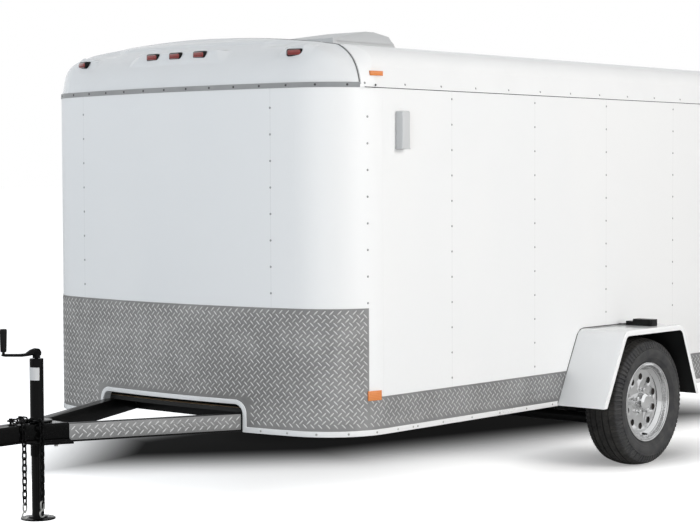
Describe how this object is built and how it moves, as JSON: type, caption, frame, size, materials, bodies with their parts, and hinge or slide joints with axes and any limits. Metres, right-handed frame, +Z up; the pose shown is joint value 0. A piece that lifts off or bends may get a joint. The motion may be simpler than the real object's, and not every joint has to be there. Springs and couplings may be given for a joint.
{
  "type": "enclosed utility trailer",
  "caption": "Enclosed utility trailer with a bowed front, moulded nose cap, tread-plate guards, hinged rear doors, a side door and a tongue jack.",
  "frame": {"origin": "on the ground, on the centreline, straight below the axle", "axes": "+Z up, -Y along the tongue towards the towing vehicle, +X towards the road side"},
  "size_m": [2.4318, 4.8479, 2.114],
  "materials": {
    "black_steel": "satin",
    "rail_black": "satin",
    "coupler_black": "gloss",
    "trim_white": "gloss",
    "skin_white": "gloss",
    "cap_white": "gloss",
    "roof_white": "gloss",
    "vent_plastic": "satin",
    "black_plastic": "satin",
    "lamp_red": "gloss",
    "lamp_amber": "gloss",
    "tread_plate": "bright raised pattern",
    "fender_white": "gloss",
    "jack_black": "gloss",
    "chain_black": "satin",
    "trim_aluminium": "satin",
    "zinc": "zinc plated",
    "hub_chrome": "polished",
    "rim_chrome": "polished",
    "plywood": "matt",
    "tyre_rubber": "matt"
  },
  "bodies": {
    "trailer": {"axle": "black_steel", "bottom_trim": "trim_white", "cap_lamps": "lamp_red", "chassis_frame": "black_steel", "coupler": "coupler_black", "coupler_latch": "coupler_black", "fender_lamps": "black_plastic", "fender_left": "fender_white", "fender_right": "fender_white", "floor": "plywood", "front_trim": "trim_aluminium", "front_wall": "skin_white", "hinge_posts": "zinc", "jack_crank": "jack_black", "jack_gusset": "coupler_black", "jack_tube": "jack_black", "leaf_springs": "black_steel", "left_wall": "skin_white", "nose_cap": "cap_white", "rear_frame": "skin_white", "right_wall": "skin_white", "roof": "roof_white", "roof_vent_curb": "trim_white", "safety_chains": "chain_black", "side_bands": "tread_plate", "side_markers": "lamp_amber", "side_vents": "vent_plastic", "stone_guard": "tread_plate", "tail_lamps": "lamp_red", "tongue_rails": "rail_black", "tongue_side_plates": "tread_plate"},
    "wheel_left": {"tyre_left": "tyre_rubber", "rim_left": "rim_chrome", "drum_hub_left": "hub_chrome"},
    "wheel_right": {"tyre_right": "tyre_rubber", "rim_right": "rim_chrome", "drum_hub_right": "hub_chrome"},
    "rear_door_left": {"rear_door_left": "skin_white", "rear_door_hardware_left": "zinc", "plate_bracket": "black_plastic"},
    "rear_door_right": {"rear_door_right": "skin_white", "rear_door_hardware_right": "zinc"},
    "side_door": {"side_door": "skin_white", "side_door_hardware": "zinc"},
    "roof_vent_lid": {"roof_vent_lid": "vent_plastic"},
    "jack_leg": {"jack_leg": "jack_black"}
  },
  "joints": [
    {"name": "wheel_left_spin", "type": "hinge", "parent": "trailer", "child": "wheel_left", "pos_m": [1.088, 0, 0.312], "axis": [1, 0, 0], "continuous": true},
    {"name": "wheel_right_spin", "type": "hinge", "parent": "trailer", "child": "wheel_right", "pos_m": [-1.088, 0, 0.312], "axis": [1, 0, 0], "continuous": true},
    {"name": "rear_door_left_hinge", "type": "hinge", "parent": "trailer", "child": "rear_door_left", "pos_m": [0.862, 1.563, 1], "axis": [0, 0, -1], "range_deg": [0, 180]},
    {"name": "rear_door_right_hinge", "type": "hinge", "parent": "trailer", "child": "rear_door_right", "pos_m": [-0.862, 1.563, 1], "axis": [0, 0, 1], "range_deg": [0, 180]},
    {"name": "side_door_hinge", "type": "hinge", "parent": "trailer", "child": "side_door", "pos_m": [-0.963, -1.563, 1], "axis": [0, 0, 1], "range_deg": [0, 150]},
    {"name": "roof_vent_lid_hinge", "type": "hinge", "parent": "trailer", "child": "roof_vent_lid", "pos_m": [0, -1.225, 2.044], "axis": [1, 0, 0], "range_deg": [0, 45]},
    {"name": "jack_leg_slide", "type": "slide", "parent": "trailer", "child": "jack_leg", "axis": [0, 0, 1], "range_m": [0, 0.24]}
  ]
}
